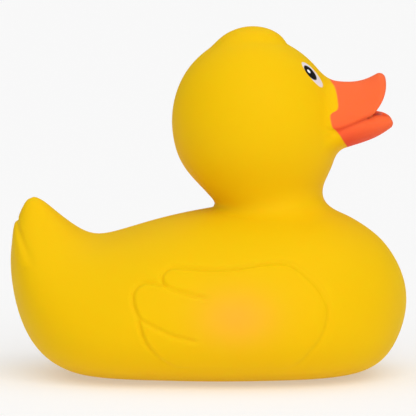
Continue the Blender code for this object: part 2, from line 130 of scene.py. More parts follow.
# Wing: grooves round its feathers and the outline of the raised plate, (x, z)
WING_TOP = [
    (1.9, 27.3), (-3.6, 27.9), (-8.0, 29.1), (-11.5, 30.2), (-13.4, 32.1), (-13.3, 33.8),
    (-11.8, 35.2), (-8.9, 35.7), (-2.2, 35.4), (3.6, 35.4), (9.5, 36.0), (15.3, 36.9),
    (22.0, 37.2), (26.3, 35.6), (29.2, 33.2), (32.2, 30.2), (34.5, 26.1), (35.1, 22.1),
    (34.2, 18.0), (32.5, 14.6), (30.0, 11.6), (26.9, 8.1), (23.4, 6.0),
]
WING_MIDDLE = [
    (-12.6, 30.8), (-16.2, 31.2), (-18.8, 31.3), (-20.9, 30.1), (-22.0, 27.9), (-21.7, 25.0),
    (-20.4, 22.0), (-18.0, 20.0), (-13.8, 18.0), (-10.0, 16.4), (-5.1, 15.2), (-1.6, 14.8),
]
WING_LOW = [(-20.3, 21.5), (-19.7, 18.0), (-18.5, 14.8), (-16.7, 12.2), (-13.8, 9.2), (-9.7, 6.6)]
WING_SLIT_POINTS = 4        # the first points of WING_TOP, which lie inside the plate
WING_REAR_POINTS = 7        # the first points of WING_MIDDLE, which lie on the plate's rim
WING_RAISE = 0.45
WING_RIM = (-0.5, 1.0)      # the plate rises between these distances inside its outline
WING_FADE_Z = (4.0, 11.0)   # the plate runs out into the body towards the base
WING_SIDE_Y = 12.0          # the wings lie outside this
WING_X = (-26.0, 40.0)
WING_TOP_Z = 42.0

# Tail: the short under feather on its rear face, (y, z)
UNDER_FEATHER = [
    (-22.0, 34.0), (-18.8, 36.7), (-15.0, 39.5), (-10.3, 42.6), (-4.6, 45.4), (0.0, 46.4),
    (4.6, 45.4), (10.3, 42.6), (15.0, 39.5), (18.8, 36.7), (22.0, 34.0),
]
UNDER_FEATHER_RAISE = 0.5
UNDER_FEATHER_DEPTH = 0.35
UNDER_FEATHER_FADE = (1.0, 7.0)     # the raised edge falls back over this distance inside it
UNDER_FEATHER_FADE_Y = (15.8, 22.0)
UNDER_FEATHER_X = -44.0             # the feather lies behind this

# Mouth: the crease that runs from between the halves of the bill into the cheek, (x, z)
MOUTH_CREASE = [(34.4, 75.2), (36.2, 74.5), (38.2, 74.2), (40.4, 75.0)]
MOUTH_DEPTH = 0.6
MOUTH_SIDE_Y = 7.0          # the crease shows outside this

# Grooves; a run-out is the share of the length over which the start and the end run out
GROOVE_DEPTH = 0.5
GROOVE_WIDTH = 0.7
WING_TOP_RUN_OUT = (0.03, 0.22)
WING_MIDDLE_RUN_OUT = (0.03, 0.10)
WING_LOW_RUN_OUT = (0.05, 0.6)
MOUTH_RUN_OUT = (0.5, 0.4)
WING_FRONT_WIDTH = 1.3      # the groove is wider round the front of the wing
WING_FRONT_X = (20.0, 32.0)
CURVE_STEP_SAMPLES = 12     # samples to a span of a groove

# Mesh
SKIN_VOXEL = 1.4
RELIEF_MARGIN = 2.6     # the mesh is finer this close to a groove, and finer again at half of it
BILL_FINE_X = 34.0      # it is finer on the bill, in front of this and above the next
BILL_FINE_Z = 62.0
TAIL_FINE_Z = 28.0      # and round the under feather, above this
HOLLOW_VOXEL = 2.4
LOFT_STEPS = 24         # steps between two ribs
LOFT_SIDES = 288
SHEET_STEPS = 50
SHEET_SIDES = 60
TUFT_SEGMENTS = 96
TUFT_RINGS = 64
SLAB_SWELL = 1.4        # how much too large a bill sheet starts
SKIN_ROUNDS = 4         # rounds of drawing the points onto the smooth surface
REFINED_ROUNDS = 2      # the same, between the two refinements
HOLLOW_ROUNDS = 6
LONGEST_MOVE = 1.5      # in one round
LEAST_SLOPE = 0.3       # of the measured distance
SLIDE = 0.5             # share of the way to the middle of a point's neighbours
NEAR_REACH = 6.0        # the distance to a form is worked out up to this far from it
BODY_REACH = 12.0
HOLLOW_REACH = 20.0
BASE_SNAP = 0.03        # points this close to the base lie in it


# ---------------------------------------------------------------- curves and lofts

def periodic_spline(values, per_span):
    """A smooth closed curve through the values, per_span samples to a span."""
    values = np.asarray(values, float)
    if values.ndim == 1:
        values = values[:, None]
    count = len(values)
    system = 4.0 * np.eye(count) + np.roll(np.eye(count), 1, 1) + np.roll(np.eye(count), -1, 1)
    ahead = np.roll(values, -1, 0)
    bend = np.linalg.solve(system, 6.0 * (ahead - 2.0 * values + np.roll(values, 1, 0)))
    bend_ahead = np.roll(bend, -1, 0)
    t = (np.arange(per_span) / per_span)[None, :, None]
    s = 1.0 - t
    curve = (s * values[:, None] + t * ahead[:, None]
             + ((s ** 3 - s) * bend[:, None] + (t ** 3 - t) * bend_ahead[:, None]) / 6.0)
    return curve.reshape(-1, values.shape[1])


def open_spline(values, samples):
    """A smooth open curve through the values."""
    values = np.asarray(values, float)
    count = len(values)
    system = 4.0 * np.eye(count) + np.eye(count, k=1) + np.eye(count, k=-1)
    target = np.zeros_like(values)
    target[1:-1] = 6.0 * (values[2:] - 2.0 * values[1:-1] + values[:-2])
    for end in (0, -1):
        system[end] = 0.0
        system[end, end] = 1.0
    bend = np.linalg.solve(system, target)
    place = np.linspace(0.0, count - 1.0, samples)
    span = np.minimum(place.astype(int), count - 2)
    t = (place - span)[:, None]
    s = 1.0 - t
    return (s * values[span] + t * values[span + 1]
            + ((s ** 3 - s) * bend[span] + (t ** 3 - t) * bend[span + 1]) / 6.0)


def ribbed_mesh(first, ribs, last, low, full):
    """A closed loft: each rib is an oval between its two outline points."""
    points_a = [rib[0] for rib in ribs]
    points_b = [rib[1] for rib in ribs]
    widths = [rib[2] for rib in ribs]
    outline = periodic_spline([first] + points_a + [last] + points_b[::-1], LOFT_STEPS)
    width = periodic_spline([0.0] + widths + [0.0] + [-w for w in widths[::-1]], LOFT_STEPS)[:, 0]
    steps = (len(ribs) + 1) * LOFT_STEPS
    around = LOFT_SIDES
    side_a = outline[1:steps]
    side_b = outline[::-1][:steps - 1]
    middle = (side_a + side_b) / 2.0
    half = (side_a - side_b) / 2.0
    angle = np.arange(around) * 2.0 * math.pi / around
    rise = np.cos(angle)
    reach = np.sin(angle) * (1.0 - low * rise + full * rise ** 2)
    verts = np.empty((steps - 1, around, 3))
    verts[..., 0] = middle[:, None, 0] + half[:, None, 0] * rise
    verts[..., 1] = width[1:steps, None] * reach
    verts[..., 2] = middle[:, None, 1] + half[:, None, 1] * rise
    poles = [(first[0], 0.0, first[1]), (last[0], 0.0, last[1])]
    faces = []
    for i in range(steps - 2):
        for j in range(around):
            k = (j + 1) % around
            faces.append((i * around + j, i * around + k, (i + 1) * around + k, (i + 1) * around + j))
    start = (steps - 1) * around
    for j in range(around):
        k = (j + 1) % around
        faces.append((start, k, j))
        faces.append((start + 1, start - around + j, start - around + k))
    return np.vstack([verts.reshape(-1, 3), poles]), faces


def sheet_mesh(stations):
    """An open arched sheet through the stations, from side edge to side edge."""
    steps, across = SHEET_STEPS, SHEET_SIDES
    line = open_spline(stations, steps)
    angle = np.linspace(-math.pi / 2.0, math.pi / 2.0, across)
    crown = np.cos(angle)
    verts = np.empty((steps, across, 3))
    verts[..., 0] = line[:, None, 2] + (line[:, None, 0] - line[:, None, 2]) * crown
    verts[..., 0] += line[:, None, 5] * 4.0 * crown * (1.0 - crown)
    verts[..., 1] = line[:, None, 4] * np.sin(angle)
    verts[..., 2] = line[:, None, 3] + (line[:, None, 1] - line[:, None, 3]) * crown
    faces = []
    for i in range(steps - 1):
        for j in range(across - 1):
            a = i * across + j
            faces.append((a, a + 1, a + across + 1, a + across))
    return verts.reshape(-1, 3), faces


def oval_mesh(centre, radii):
    """A closed ellipsoid about a centre (x, z)."""
    ball = bmesh.new()
    bmesh.ops.create_uvsphere(ball, u_segments=TUFT_SEGMENTS, v_segments=TUFT_RINGS, radius=1.0)
    place = Matrix.Translation((centre[0], 0.0, centre[1])) @ Matrix.Diagonal((*radii, 1.0))
    bmesh.ops.transform(ball, matrix=place, verts=ball.verts)
    verts = np.array([v.co for v in ball.verts])
    faces = [tuple(v.index for v in f.verts) for f in ball.faces]
    ball.free()
    return verts, faces


# ---------------------------------------------------------------- forms and how they blend

def smooth_step(low, high, value):
    t = np.clip((value - low) / (high - low), 0.0, 1.0)
    return t * t * (3.0 - 2.0 * t)


class Form:
    """A form in millimetres that tells how far points lie from its surface.

    A closed form is negative inside. A sheet has a thickness, on its centre line and
    at its side edges, and rounds over at its rim."""

    def __init__(self, verts, faces, thickness=None, half_width=1.0):
        self.verts = verts
        self.thickness = thickness
        self.half_width = half_width
        solid = bmesh.new()
        made = [solid.verts.new(v) for v in verts]
        for face in faces:
            solid.faces.new([made[i] for i in face])
        bmesh.ops.recalc_face_normals(solid, faces=solid.faces)
        solid.normal_update()
        solid.verts.index_update()
        self.faces = [tuple(v.index for v in f.verts) for f in solid.faces]
        self.tree = BVHTree.FromBMesh(solid)
        self.low = verts.min(0)
        self.high = verts.max(0)
        solid.free()

    def measure(self, points, reach):
        """Distance and its direction at each point; points further than reach are left far away."""
        distance = np.full(len(points), 4.0 * reach)
        direction = np.zeros((len(points), 3))
        near = np.all((points > self.low - reach) & (points < self.high + reach), axis=1)
        for i in np.flatnonzero(near):
            place, normal, _, gap = self.tree.find_nearest(points[i].tolist())
            normal = np.array(normal)
            away = points[i] - np.array(place)
            if self.thickness is None:
                side = 1.0 if away @ normal >= 0.0 else -1.0
                distance[i] = side * gap
                direction[i] = side * away / gap if gap > 1e-3 else normal
            else:
                edge = min(abs(place[1]) / self.half_width, 1.0)
                thick = self.thickness[0] + (self.thickness[1] - self.thickness[0]) * edge ** 2
                distance[i] = gap - thick / 2.0
                direction[i] = away / max(gap, 1e-6)
        return distance, direction


def blend(a, b, radius):
    """The smooth union of two measured forms."""
    mix = np.clip(0.5 + 0.5 * (b[0] - a[0]) / radius, 0.0, 1.0)
    distance = b[0] + (a[0] - b[0]) * mix - radius * mix * (1.0 - mix)
    direction = b[1] + (a[1] - b[1]) * mix[:, None]
    return distance, direction


def cut_flat(a, level, radius):
    """The smooth cut of a measured form by the plane z = level, keeping what is above."""
    points, (distance, direction) = a
    plane = level - points[:, 2]
    mix = np.clip(0.5 + 0.5 * (plane - distance) / radius, 0.0, 1.0)
    down = np.array([0.0, 0.0, -1.0])
    return (distance + (plane - distance) * mix + radius * mix * (1.0 - mix),
            direction + (down - direction) * mix[:, None])


class Duck:
    """The forms of the duck and the one smooth surface that they blend into."""

    def __init__(self):
        self.body = Form(*ribbed_mesh(TAIL_TIP, BODY_RIBS, BREAST, BODY_LOW, BODY_FULL))
        self.head = Form(*ribbed_mesh(CROWN, HEAD_RIBS, NECK_END, 0.0, 0.0))
        self.tuft = Form(*oval_mesh(TUFT_CENTRE, TUFT_RADII))
        self.upper = Form(*sheet_mesh(UPPER_BILL), UPPER_THICKNESS, UPPER_BILL[-1][4])
        self.lower = Form(*sheet_mesh(LOWER_BILL), LOWER_THICKNESS, LOWER_BILL[1][4])

    def torso(self, points, reach):
        """The body and the head, blended at the neck."""
        ramp = smooth_step(*NECK_BLEND_X, points[:, 0])
        radius = NECK_BLEND[0] + (NECK_BLEND[1] - NECK_BLEND[0]) * ramp
        return blend(self.body.measure(points, reach), self.head.measure(points, reach), radius)

    def skin(self, points):
        """Distance to the outside of the skin."""
        whole = self.torso(points, BODY_REACH)
        ramp = smooth_step(*TUFT_BLEND_X, points[:, 0])
        radius = TUFT_BLEND[0] + (TUFT_BLEND[1] - TUFT_BLEND[0]) * ramp
        whole = blend(whole, self.tuft.measure(points, NEAR_REACH), radius)
        upper = self.upper.measure(points, NEAR_REACH)
        lower = self.lower.measure(points, NEAR_REACH)
        whole = blend(whole, blend(upper, lower, MOUTH_BLEND), BILL_BLEND)
        return cut_flat((points, whole), 0.0, BASE_EDGE)

    def hollow(self, points):
        """Distance to the inside of the skin, one wall below the body and the head."""
        distance, direction = self.torso(points, HOLLOW_REACH)
        return cut_flat((points, (distance + WALL, direction)), WALL, BASE_EDGE)


# ---------------------------------------------------------------- grooves and raised feathers

def nearest_on_curve(points, curve):
    """Distance from each flat point to a sampled curve, and how far along it that is, 0 to 1."""
    distance = np.full(len(points), np.inf)
    along = np.zeros(len(points))
    for i in range(len(curve) - 1):
        run = curve[i + 1] - curve[i]
        t = np.clip((points - curve[i]) @ run / max(run @ run, 1e-12), 0.0, 1.0)
        gap = np.linalg.norm(points - curve[i] - t[:, None] * run, axis=1)
        closer = gap < distance
        distance[closer] = gap[closer]
        along[closer] = (i + t[closer]) / (len(curve) - 1)
    return distance, along


def inside_outline(points, outline):
    """Whether each flat point lies inside a closed outline."""
    inside = np.zeros(len(points), bool)
    for a, b in zip(outline, np.roll(outline, -1, 0)):
        crosses = (a[1] > points[:, 1]) != (b[1] > points[:, 1])
        at = a[0] + (points[:, 1] - a[1]) * (b[0] - a[0]) / (b[1] - a[1] if b[1] != a[1] else 1.0)
        inside ^= crosses & (points[:, 0] < at)
    return inside


def sampled(points):
    return open_spline(points, (len(points) - 1) * CURVE_STEP_SAMPLES + 1)


def groove(flat, points, depth, width, run_out):
    """Depth of a groove along a curve, with a round bottom and soft edges."""
    distance, along = nearest_on_curve(flat, sampled(points))
    ends = smooth_step(0.0, run_out[0], along) * smooth_step(0.0, run_out[1], 1.0 - along)
    return depth * ends * np.exp(-(distance / width) ** 2)


def wing_relief(points):
    """Height of the wings over the plain body."""
    flat = points[:, [0, 2]]
    height = np.zeros(len(points))
    on = (np.abs(points[:, 1]) > WING_SIDE_Y) & (points[:, 2] < WING_TOP_Z)
    on &= (points[:, 0] > WING_X[0]) & (points[:, 0] < WING_X[1])
    flat = flat[on]
    top = sampled(WING_TOP[WING_SLIT_POINTS:])
    rear = sampled(WING_MIDDLE[:WING_REAR_POINTS])
    low = sampled(WING_LOW)
    outline = np.vstack([top, low[::-1], rear[::-1]])
    edge = np.minimum(nearest_on_curve(flat, top)[0],
                      np.minimum(nearest_on_curve(flat, rear)[0], nearest_on_curve(flat, low)[0]))
    edge = np.where(inside_outline(flat, outline), edge, -edge)
    plate = WING_RAISE * smooth_step(*WING_RIM, edge) * smooth_step(*WING_FADE_Z, flat[:, 1])
    front = smooth_step(*WING_FRONT_X, flat[:, 0])
    width = GROOVE_WIDTH + (WING_FRONT_WIDTH - GROOVE_WIDTH) * front
    cut = groove(flat, WING_TOP, GROOVE_DEPTH, width, WING_TOP_RUN_OUT)
    cut = np.maximum(cut, groove(flat, WING_MIDDLE, GROOVE_DEPTH, GROOVE_WIDTH, WING_MIDDLE_RUN_OUT))
    cut = np.maximum(cut, groove(flat, WING_LOW, GROOVE_DEPTH, GROOVE_WIDTH, WING_LOW_RUN_OUT))
    height[on] = plate - cut
    return height


def under_feather_relief(points):
    """Height of the under feather on the rear face of the tail."""
    height = np.zeros(len(points))
    on = points[:, 0] < UNDER_FEATHER_X
    flat = points[on][:, [1, 2]]
    curve = sampled(UNDER_FEATHER)
    distance, _ = nearest_on_curve(flat, curve)
    inside = inside_outline(flat, curve)
    fade = 1.0 - smooth_step(*UNDER_FEATHER_FADE_Y, np.abs(flat[:, 0]))
    edge = np.where(inside, distance, -distance)
    pad = smooth_step(*WING_RIM, edge) * (1.0 - smooth_step(*UNDER_FEATHER_FADE, edge))
    cut = UNDER_FEATHER_DEPTH * np.exp(-(distance / GROOVE_WIDTH) ** 2)
    height[on] = fade * (UNDER_FEATHER_RAISE * pad - cut)
    return height


def mouth_relief(points):
    """The crease that the mouth leaves in both cheeks."""
    height = np.zeros(len(points))
    on = np.abs(points[:, 1]) > MOUTH_SIDE_Y
    height[on] = -groove(points[on][:, [0, 2]], MOUTH_CREASE, MOUTH_DEPTH, GROOVE_WIDTH, MOUTH_RUN_OUT)
    return height


def relief(points):
    return wing_relief(points) + under_feather_relief(points) + mouth_relief(points)


# ---------------------------------------------------------------- mesh tools

def add_object(name, verts, faces, collection):
    """A mesh object from points in millimetres."""
    mesh = bpy.data.meshes.new(name)
    mesh.from_pydata((np.asarray(verts) * MM).tolist(), [], faces)
    obj = bpy.data.objects.new(name, mesh)
    collection.objects.link(obj)
    return obj


def apply_modifiers(obj):
    """Replace the object's mesh with its evaluated one."""
    bpy.context.view_layer.update()
    evaluated = obj.evaluated_get(bpy.context.evaluated_depsgraph_get())
    mesh = bpy.data.meshes.new_from_object(evaluated)
    obj.modifiers.clear()
    old = obj.data
    obj.data = mesh
    bpy.data.meshes.remove(old)


def points_of(obj):
    flat = np.empty(len(obj.data.vertices) * 3)
    obj.data.vertices.foreach_get("co", flat)
    return flat.reshape(-1, 3) / MM


def set_points(obj, points):
    obj.data.vertices.foreach_set("co", (points * MM).ravel())
    obj.data.update()


def joined(forms):
    """The points and faces of several forms as one list."""
    verts = np.vstack([form[0] for form in forms])
    faces = []
    offset = 0
    for points, polygons in forms:
        faces += [tuple(i + offset for i in polygon) for polygon in polygons]
        offset += len(points)
    return verts, faces


def thickened(sheet):
    """A closed slab all round an open sheet, a little too large, as a start for the remesh."""
    slab = add_object("slab", sheet.verts, sheet.faces, bpy.context.scene.collection)
    solidify = slab.modifiers.new("thickness", "SOLIDIFY")
    solidify.thickness = sheet.thickness[1] * MM
    solidify.offset = 0.0
    swell = slab.modifiers.new("swell", "DISPLACE")
    swell.mid_level = 0.0
    swell.strength = SLAB_SWELL * MM
    apply_modifiers(slab)
    verts = points_of(slab)
    faces = [tuple(p.vertices) for p in slab.data.polygons]
    bpy.data.objects.remove(slab)
    return verts, faces


def neighbour_mean(obj, points):
    """The mean of each point's neighbours."""
    edges = np.empty(len(obj.data.edges) * 2, np.int32)
    obj.data.edges.foreach_get("vertices", edges)
    edges = edges.reshape(-1, 2)
    total = np.zeros_like(points)
    count = np.zeros(len(points))
    for a, b in ((0, 1), (1, 0)):
        np.add.at(total, edges[:, a], points[edges[:, b]])
        np.add.at(count, edges[:, a], 1.0)
    return total / count[:, None]


def settle(obj, surface, rounds):
    """Draw the points onto a surface, evening out their spacing on the way."""
    points = points_of(obj)
    for i in range(rounds):
        distance, direction = surface(points)
        length = np.maximum(np.linalg.norm(direction, axis=1), LEAST_SLOPE)
        normal = direction / length[:, None]
        points = points - np.clip(distance / length, -LONGEST_MOVE, LONGEST_MOVE)[:, None] * normal
        if i < rounds - 1:
            slide = neighbour_mean(obj, points) - points
            points += SLIDE * (slide - np.sum(slide * normal, axis=1)[:, None] * normal)
    set_points(obj, points)
    return points, normal


def remeshed(name, forms, voxel, collection):
    obj = add_object(name, *joined(forms), collection)
    remesh = obj.modifiers.new("one_skin", "REMESH")
    remesh.mode = "VOXEL"
    remesh.voxel_size = voxel * MM
    apply_modifiers(obj)
    return obj


def flatten_base(points, level):
    points[np.abs(points[:, 2] - level) < BASE_SNAP, 2] = level
    return points


# ---------------------------------------------------------------- fine skin

def refine(obj, chosen):
    """Split the faces that have a chosen point into a finer grid."""
    fine = bmesh.new()
    fine.from_mesh(obj.data)
    fine.verts.ensure_lookup_table()
    faces = [f for f in fine.faces if any(chosen[v.index] for v in f.verts)]
    edges = list({e for f in faces for e in f.edges})
    bmesh.ops.subdivide_edges(fine, edges=edges, cuts=1, use_grid_fill=True)
    bmesh.ops.triangulate(fine, faces=[f for f in fine.faces if len(f.verts) > 4])
    fine.to_mesh(obj.data)
    fine.free()


def near_relief(points, margin):
    """Whether each point is close to a groove, or lies on the bill."""
    flat = points[:, [0, 2]]
    side = (np.abs(points[:, 1]) > WING_SIDE_Y) & (points[:, 2] < WING_TOP_Z)
    side &= (points[:, 0] > WING_X[0]) & (points[:, 0] < WING_X[1])
    gap = np.full(len(points), np.inf)
    for curve in (WING_TOP, WING_MIDDLE, WING_LOW):
        gap[side] = np.minimum(gap[side], nearest_on_curve(flat[side], sampled(curve))[0])
    close = gap < margin
    rear = (points[:, 0] < UNDER_FEATHER_X) & (points[:, 2] > TAIL_FINE_Z)
    tail_gap = nearest_on_curve(points[rear][:, [1, 2]], sampled(UNDER_FEATHER))[0]
    close[np.flatnonzero(rear)[tail_gap < margin]] = True
    close |= (points[:, 0] > BILL_FINE_X) & (points[:, 2] > BILL_FINE_Z)
    return close


def make_skin(duck):
    """The whole vinyl wall, with its hollow and its vent."""
    collection = bpy.context.scene.collection
    parts = [(f.verts, f.faces) for f in (duck.body, duck.head, duck.tuft)]
    parts += [thickened(duck.upper), thickened(duck.lower)]
    skin = remeshed("vinyl_duck", parts, SKIN_VOXEL, collection)
    points, _ = settle(skin, duck.skin, SKIN_ROUNDS)
    refine(skin, near_relief(points, RELIEF_MARGIN))
    points, _ = settle(skin, duck.skin, REFINED_ROUNDS)
    refine(skin, near_relief(points, RELIEF_MARGIN / 2.0))
    points, normal = settle(skin, duck.skin, SKIN_ROUNDS)
    points += relief(points)[:, None] * normal
    low, high = (np.array(corner) / MM for corner in cad_box)
    set_points(skin, flatten_base(np.clip(points, low, high), 0.0))
    hollow = remeshed("hollow", parts[:2], HOLLOW_VOXEL, collection)
    points, _ = settle(hollow, duck.hollow, HOLLOW_ROUNDS)
    set_points(hollow, flatten_base(points, WALL))
    bpy.ops.mesh.primitive_cylinder_add(vertices=VENT_SIDES, radius=VENT_DIAMETER * MM / 2.0,
                                        depth=VENT_CUTTER * MM, location=(0.0, 0.0, 0.0))
    vent = bpy.context.active_object
    for cutter in (hollow, vent):
        cut = skin.modifiers.new("cut", "BOOLEAN")
        cut.operation = "DIFFERENCE"
        cut.solver = "EXACT"
        cut.object = cutter
    apply_modifiers(skin)
    for cutter in (hollow, vent):
        bpy.data.objects.remove(cutter)
    return skin


# ---------------------------------------------------------------- shader maths

MIX_COLOURS = (6, 7)        # the colour sockets of a Mix node
MIX_RESULT = 2


class Value:
    """A number in a material's node tree: Python maths on it adds Math nodes."""

    def __init__(self, tree, socket=None):
        self.tree = tree
        self.socket = socket

    def node(self, kind, settings, sockets):
        """Add a node: its settings first, then the values or links of its sockets."""
        made = self.tree.nodes.new(kind)
        for name, value in settings.items():
            if name == "curve":
                draw_curve(made.mapping, value)
            else:
                setattr(made, name, value)
        for name, value in sockets.items():
            target = made.inputs[name]
            if isinstance(value, Value):
                value = value.socket
            if isinstance(value, bpy.types.NodeSocket):
                self.tree.links.new(value, target)
            elif target.type == "RGBA":
                target.default_value = (*value, 1.0)
            else:
                target.default_value = value
        return made.outputs

    def value(self, kind, settings, sockets, output=0):
        """Add a node and take one of its outputs as a number."""
        return Value(self.tree, self.node(kind, settings, sockets)[output])

    def math(self, operation, *sockets):
        return self.value("ShaderNodeMath", {"operation": operation}, dict(enumerate(sockets)))

    def __add__(self, other):
        return self.math("ADD", self, other)

    __radd__ = __add__

    def __mul__(self, other):
        return self.math("MULTIPLY", self, other)

    __rmul__ = __mul__

    def __sub__(self, other):
        return self.math("SUBTRACT", self, other)

    def __rsub__(self, other):
        return self.math("SUBTRACT", other, self)

    def __truediv__(self, other):
        return self.math("DIVIDE", self, other)

    def __neg__(self):
        return self.math("MULTIPLY", self, -1.0)

    def __abs__(self):
        return self.math("ABSOLUTE", self)

    def sqrt(self):
        return self.math("SQRT", self)

    def exp(self):
        return self.math("EXPONENT", self)

    def most(self, other):
        return self.math("MAXIMUM", self, other)

    def step(self, low, high):
        """A smooth step: 0 below low, 1 above high."""
        return self.value("ShaderNodeMapRange", {"interpolation_type": "SMOOTHSTEP"},
                          {"Value": self, "From Min": low, "From Max": high}, "Result")


def draw_curve(mapping, places):
    """Draw a curve node's line through the places, whose first and last are its ends."""
    points = mapping.curves[0].points
    points[0].location = places[0]
    points[1].location = places[-1]
    for place in places[1:-1]:
        points.new(*place)
    mapping.update()


def mix_colour(factor, below, above):
    below_socket, above_socket = MIX_COLOURS
    return factor.node("ShaderNodeMix", {"data_type": "RGBA"},
                       {"Factor": factor, below_socket: below, above_socket: above})[MIX_RESULT]


def band(value, rise, fall):
    """1 between two soft edges, 0 outside them."""
    return value.step(*rise) * (1.0 - value.step(*fall))


# ---------------------------------------------------------------- paint, print, painted shade and sheen, millimetres

YELLOW = (0.87, 0.525, 0.003)
YELLOW_DEEP = (0.84, 0.47, 0.003)
ORANGE = (1.0, 0.155, 0.046)
# darker red painted low on the lower bill, partly as painted shade
CHIN_SHADE_RED = (0.78, 0.075, 0.034)
# darker red painted as shade in the crease between the halves of the bill
MOUTH_SHADE_RED = (0.72, 0.075, 0.03)
# greyish pink painted as a sheen on the inside of the mouth
MOUTH_INSIDE_SHEEN = (0.62, 0.22, 0.17)
BLUSH = (1.0, 0.43, 0.045)
EYE_WHITE = (0.76, 0.70, 0.73)
PUPIL = (0.006, 0.005, 0.006)
GLINT = (0.95, 0.95, 0.95)

# Eyes: a flat print each, seen along EYE_OUT. The shifts go forward and up from the centre.
EYE_CENTRE = (31.25, 9.8, 90.86)
EYE_OUT = (0.70, 0.42, 0.58)
EYE_UP = (-0.64, 0.0, 0.77)
EYE_DEPTH = (-4.0, -3.5)        # the print doesn't reach through to what lies behind this
EYE_WHITE_HALF = (2.8, 4.7)
PUPIL_HALF = (2.3, 2.75)
PUPIL_SHIFT = (0.65, 0.86)
GLINT_HALF = (0.65, 0.65)
GLINT_SHIFT = (1.0, 1.5)
PRINT_SOFTNESS = 0.18

# Bill: where the orange meets the yellow, (z, x)
BILL_EDGE = [
    (66.0, 42.3), (69.0, 41.4), (70.4, 40.6), (71.6, 39.9), (73.0, 39.0), (74.2, 38.0), (75.3, 36.9),
    (77.2, 36.4), (78.6, 36.3), (79.4, 36.8), (80.0, 37.9), (80.9, 38.6), (83.2, 38.5),
    (86.3, 37.9), (88.4, 36.6), (90.0, 35.8),
]
BILL_SOFTNESS = 0.35
BILL_LOWEST = (65.0, 65.2)
CHIN_SHADE_Z = (68.0, 78.0)           # the orange turns darker red downwards over this: partly painted shade of the downward-facing lower bill, partly a deeper red of its own

# Painted shade along the crease between the halves of the bill, (x, z), and where it shows
MOUTH_SHADE_LINE = [(36.0, 74.5), (38.2, 74.2), (40.4, 75.0), (42.3, 75.8), (45.8, 77.4), (49.0, 79.0)]
MOUTH_SHADE_WIDTH = 0.7
MOUTH_SHADE_SIDE = (8.0, 10.0)
MOUTH_SHADE_START = (36.0, 38.0)
MOUTH_SHADE_END = (46.0, 50.0)
MOUTH_SHADE_STRENGTH = 0.55

# Inside of the mouth, between two arches: z on the centre line, z at the sides, half width
PALATE = (86.0, 75.0, 12.2)
TONGUE = (69.9, 73.2, 11.6)
ARCH_SOFTNESS = 0.2
THROAT_SIDE = (10.6, 11.0)
THROAT_X = (28.0, 30.0)
SHEEN_SIDE = (6.0, 8.0)          # a greyish painted sheen covers the inside within these, across, up and forward
SHEEN_Z = ((75.4, 76.4), (80.0, 81.0))
SHEEN_X = ((38.0, 40.0), (51.6, 52.8))
SHEEN_STRENGTH = 0.8

BLUSH_CENTRE = (8.6, 22.0)      # (x, z)
BLUSH_RADII = (10.5, 7.5)
BLUSH_SIDE = (25.0, 32.0)
BLUSH_STRENGTH = 0.65

# Vinyl: a faint cloud in its colour and gloss, and the fine grain of its surface
CLOUD_SCALE = 18.0
CLOUD_DETAIL = 3.0
CLOUD_RANGE = (0.3, 0.8)
CLOUD_STRENGTH = 0.18
ROUGHNESS = 0.50
CLOUD_ROUGHNESS = 0.08
PUPIL_GLOSS = 0.22              # how much less rough the black print is
GRAIN_SCALE = 1400.0
GRAIN_DETAIL = 2.0
GRAIN_STRENGTH = 0.06
GRAIN_HEIGHT = 0.0002
GLOW_THROUGH = 0.25             # share of the light that scatters under the surface
GLOW_COLOUR = (1.0, 0.45, 0.08)
GLOW_DEPTH = 0.004
SHINE = 0.03


def oval(shift, half, along, up):
    """A soft-edged oval print: 1 inside, 0 outside."""
    x = (along - shift[0]) / half[0]
    y = (up - shift[1]) / half[1]
    edge = PRINT_SOFTNESS / half[0]
    return 1.0 - (x * x + y * y).sqrt().step(1.0 - edge, 1.0 + edge)


def drawn(line, along):
    """The second coordinate of a drawn line at a value of the first."""
    first = [place[0] for place in line]
    second = [place[1] for place in line]
    start, length = min(first), max(first) - min(first)
    base, rise = min(second), max(second) - min(second)
    places = [((a - start) / length, (b - base) / rise) for a, b in line]
    curve = along.value("ShaderNodeFloatCurve", {"curve": places}, {"Value": (along - start) / length})
    return curve * rise + base


def arch(shape, side):
    """The level of an arch across the bill, from z on the centre line down or up to its sides."""
    crown, foot, half = shape
    part = side / half
    return foot + (crown - foot) * (1.0 - part * part).most(0.0).sqrt()


def bill_paint(x, side, z):
    """Where the orange is, the painted shade along the crease between the halves, and the painted sheen
    inside the mouth.
    """
    outside = (x - drawn(BILL_EDGE, z)).step(-BILL_SOFTNESS, BILL_SOFTNESS) * z.step(*BILL_LOWEST)
    below_palate = (arch(PALATE, side) - z).step(-ARCH_SOFTNESS, ARCH_SOFTNESS)
    above_tongue = (z - arch(TONGUE, side)).step(-ARCH_SOFTNESS, ARCH_SOFTNESS)
    throat = below_palate * above_tongue * (1.0 - side.step(*THROAT_SIDE))
    orange = outside.most(throat * x.step(*THROAT_X))
    # painted shade: a dark band along the crease between the two halves of the bill
    gap = (z - drawn(MOUTH_SHADE_LINE, x)) / MOUTH_SHADE_WIDTH
    line = (-(gap * gap)).exp() * side.step(*MOUTH_SHADE_SIDE) * band(x, MOUTH_SHADE_START, MOUTH_SHADE_END)
    # painted sheen: a greyish-pink reflection on the inside of the mouth
    inside_sheen = (1.0 - side.step(*SHEEN_SIDE)) * band(z, *SHEEN_Z) * band(x, *SHEEN_X)
    return orange, line, inside_sheen


